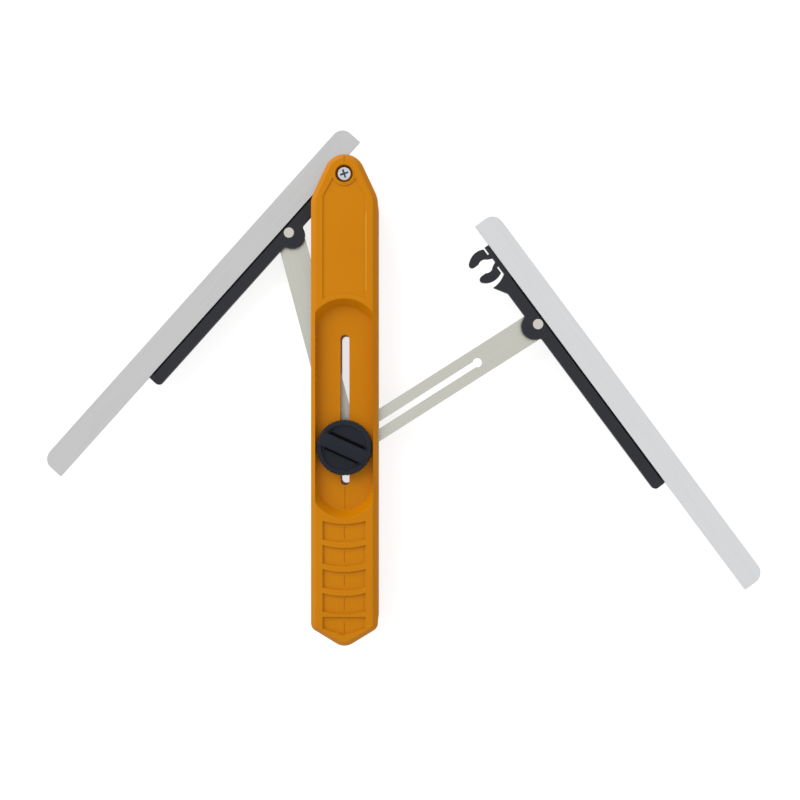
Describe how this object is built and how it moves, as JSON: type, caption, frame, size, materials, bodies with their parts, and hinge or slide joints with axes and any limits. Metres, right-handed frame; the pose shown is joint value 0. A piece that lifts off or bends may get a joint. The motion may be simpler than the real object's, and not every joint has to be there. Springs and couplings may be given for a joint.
{
  "type": "angle finder",
  "caption": "Folding angle finder: orange plastic casing with a sliding clamp knob, two aluminium rulers on black carriers and two flat steel links.",
  "frame": {"origin": "on the arms' pivot axis, in the plane of the casing's flat back", "axes": "+X to the casing's right, +Y up the casing towards the pivot's cap, +Z out of the casing's front, towards the knob"},
  "size_m": [0.3918, 0.281, 0.0286],
  "materials": {
    "orange_plastic": "satin moulded",
    "black_nylon": "satin moulded",
    "knob_plastic": "satin moulded",
    "ruler_aluminium": "satin anodised",
    "link_steel": "nickel plated, satin",
    "rivet_steel": "turned face",
    "chrome_screw": "polished",
    "zinc_screw": "zinc plated",
    "brass_insert": "turned"
  },
  "bodies": {
    "casing": {"front_shell": "orange_plastic", "back_shell": "orange_plastic", "foot_screw": "zinc_screw", "pivot_post": "zinc_screw", "pivot_screw": "chrome_screw", "pivot_nut": "zinc_screw"},
    "clamp": {"clamp_bolt": "zinc_screw", "back_washer": "zinc_screw", "back_guide": "black_nylon", "link_spacer": "black_nylon", "upper_spacer": "black_nylon", "front_guide": "black_nylon", "knob_washer": "zinc_screw"},
    "knob": {"knob": "knob_plastic", "knob_insert": "brass_insert"},
    "left_arm": {"left_carrier": "black_nylon", "left_ruler": "ruler_aluminium", "left_ruler_studs": "ruler_aluminium", "left_rivet": "rivet_steel"},
    "left_link": {"left_link": "link_steel", "left_rivet_tail": "rivet_steel"},
    "slide_washer": {"slide_washer": "zinc_screw"},
    "right_link": {"right_link": "link_steel"},
    "right_arm": {"right_carrier": "black_nylon", "right_ruler": "ruler_aluminium", "right_ruler_studs": "ruler_aluminium", "right_rivet": "rivet_steel"}
  },
  "joints": [
    {"name": "clamp_slide", "type": "slide", "parent": "casing", "child": "clamp", "axis": [0, 1, 0], "range_m": [-0.0176, 0.058]},
    {"name": "knob_turn", "type": "hinge", "parent": "clamp", "child": "knob", "pos_m": [0, -0.1469, 0.024], "axis": [0, 0, 1], "range_deg": [-180, 360]},
    {"name": "left_arm_swing", "type": "hinge", "parent": "casing", "child": "left_arm", "pos_m": [0, 0, 0.0116], "axis": [0, 0, 1], "range_deg": [-85.67, 26.07]},
    {"name": "left_link_swing", "type": "hinge", "parent": "clamp", "child": "left_link", "pos_m": [0, -0.1469, 0.0097], "axis": [0, 0, 1], "range_deg": [-1.1, 0.4]},
    {"name": "right_link_swing", "type": "hinge", "parent": "clamp", "child": "slide_washer", "pos_m": [0, -0.1469, 0.0146], "axis": [0, 0, 1], "range_deg": [-60, 25]},
    {"name": "right_link_slide", "type": "slide", "parent": "slide_washer", "child": "right_link", "axis": [-0.8435, -0.5371, 0], "range_m": [0, 0.0855]},
    {"name": "right_arm_swing", "type": "hinge", "parent": "right_link", "child": "right_arm", "pos_m": [0.10538, -0.07981, 0.0146], "axis": [0, 0, 1], "range_deg": [-35, 150]}
  ],
  "couplings": [
    {"joint": "left_arm_swing", "follows": "clamp_slide", "rad_per_m": -25.749},
    {"joint": "left_link_swing", "follows": "clamp_slide", "rad_per_m": -0.3}
  ]
}
